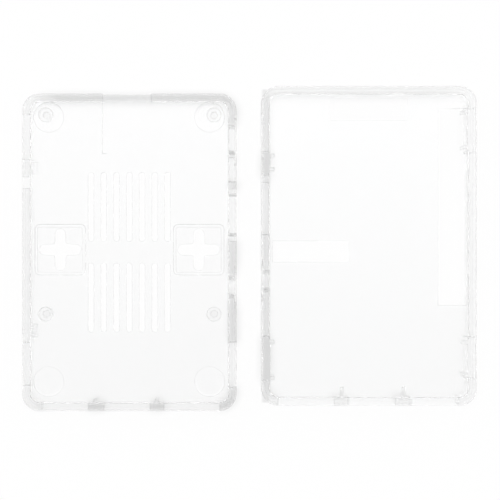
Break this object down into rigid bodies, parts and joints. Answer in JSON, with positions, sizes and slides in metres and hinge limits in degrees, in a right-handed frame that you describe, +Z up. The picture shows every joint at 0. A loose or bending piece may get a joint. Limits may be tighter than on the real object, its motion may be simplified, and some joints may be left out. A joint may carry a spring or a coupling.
{
  "type": "single board computer case",
  "caption": "Clear snap-together case for a credit-card sized computer board, shown apart: vented base shell with board posts and keyholes, and slotted lid shell with snap tongues.",
  "frame": {"origin": "centre of the footprint of the two shells as they lie apart, on the surface that they lie on", "axes": "+X from the base shell to the lid shell, +Y towards the card end of both shells, +Z up, away from the surface"},
  "size_m": [0.1316, 0.094, 0.017],
  "materials": {
    "clear_plastic_base": "clear, polished, faintly hazy",
    "clear_plastic_lid": "clear, polished, faintly hazy"
  },
  "bodies": {
    "root": {"base_shell": "clear_plastic_base", "lid_shell": "clear_plastic_lid"}
  },
  "joints": []
}
